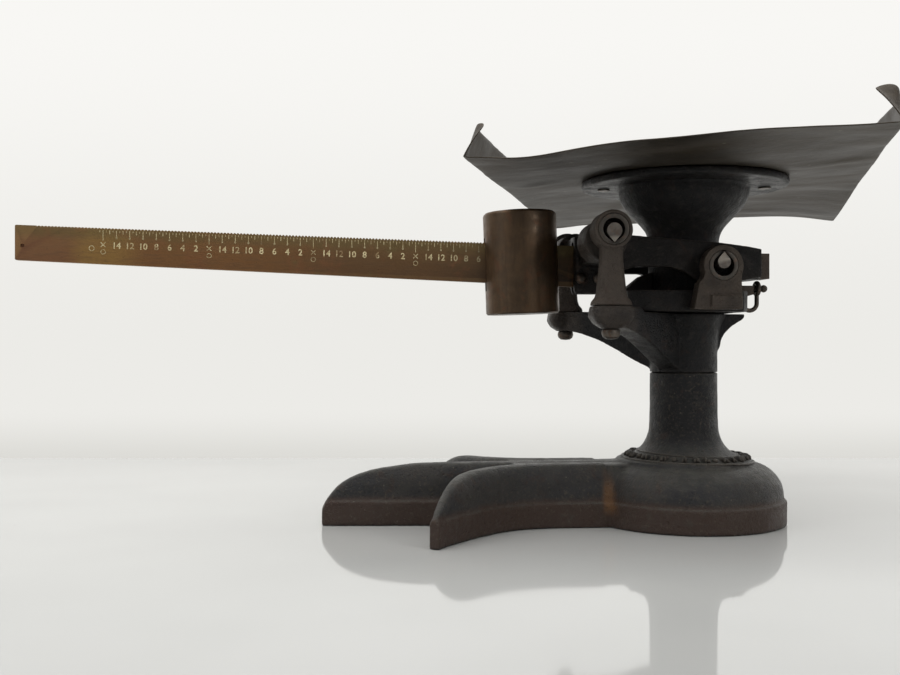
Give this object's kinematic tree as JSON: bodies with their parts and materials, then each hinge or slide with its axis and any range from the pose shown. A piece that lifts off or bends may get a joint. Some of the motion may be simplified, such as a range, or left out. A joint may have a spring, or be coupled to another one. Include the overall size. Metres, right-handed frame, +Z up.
{
  "type": "counter beam scale",
  "caption": "Cast-iron counter scale with a notched brass beam, a sliding poise, a knife-edge lever and a rectangular metal tray on a funnel-shaped neck.",
  "frame": {"origin": "on the floor, where the axis of the round column meets the plane of the base's rim", "axes": "+Z up along the column, -X along the beam towards its tip, +X towards the heel of the lever, -Y the near side with the graduations"},
  "size_m": [0.6288, 0.4088, 0.2596],
  "materials": {
    "black_iron": "old dark japanned casting, worn semi-gloss",
    "brown_iron": "brown oxidised casting, satin",
    "beam_brass": "tarnished brown and green patina, brushed along its length",
    "poise_bronze": "dark brown patina, turned",
    "tray_tin": "dull tinned sheet, tarnished and dented",
    "knife_steel": "ground tool steel, dulled",
    "fastener_steel": "dark oxidised steel"
  },
  "bodies": {
    "stand": {"base_casting": "black_iron", "head_casting": "black_iron", "link_root_pin": "fastener_steel", "near_bearing_post": "brown_iron", "far_bearing_post": "brown_iron", "near_fulcrum_bearing": "knife_steel", "far_fulcrum_bearing": "knife_steel", "near_post_screw": "fastener_steel", "far_post_screw": "fastener_steel"},
    "lever": {"lever_frame": "brown_iron", "beam_bar": "beam_brass", "beam_rivets": "beam_brass", "heel_plug": "brown_iron", "near_fulcrum_pivot": "knife_steel", "far_fulcrum_pivot": "knife_steel", "near_load_pivot": "knife_steel", "far_load_pivot": "knife_steel"},
    "platform": {"neck_casting": "black_iron", "bed_casting": "brown_iron", "near_load_block": "brown_iron", "far_load_block": "brown_iron", "near_load_bearing": "knife_steel", "far_load_bearing": "knife_steel", "stem_rod": "fastener_steel", "stem_clevis": "brown_iron", "stem_nut": "fastener_steel", "link_stem_pin": "fastener_steel", "hook_peg": "brown_iron", "tray_sheet": "tray_tin", "tray_screws": "fastener_steel"},
    "link": {"check_link": "brown_iron"},
    "poise": {"poise_body": "poise_bronze", "poise_cap": "poise_bronze", "poise_pawl": "knife_steel"},
    "hook": {"wire_hook": "fastener_steel"}
  },
  "joints": [
    {"name": "lever_tilt", "type": "hinge", "parent": "stand", "child": "lever", "pos_m": [-0.0683, 0, 0.183], "axis": [0, 1, 0], "range_deg": [-4.2, 0]},
    {"name": "platform_hang", "type": "hinge", "parent": "lever", "child": "platform", "pos_m": [0.0098, 0, 0.1802], "axis": [0, 1, 0], "range_deg": [0, 4.2]},
    {"name": "link_turn", "type": "hinge", "parent": "stand", "child": "link", "pos_m": [-0.0781, 0, 0.0248], "axis": [0, 1, 0], "range_deg": [-4.2, 0]},
    {"name": "poise_slide", "type": "slide", "parent": "lever", "child": "poise", "axis": [-0.9996, 0, 0.0293], "range_m": [-0.008, 0.295]},
    {"name": "hook_swing", "type": "hinge", "parent": "platform", "child": "hook", "pos_m": [0.0471, -0.013, 0.1586], "axis": [1, 0, 0], "range_deg": [-75, 75]}
  ],
  "couplings": [
    {"joint": "platform_hang", "follows": "lever_tilt", "ratio": -1},
    {"joint": "link_turn", "follows": "lever_tilt", "ratio": 1}
  ]
}
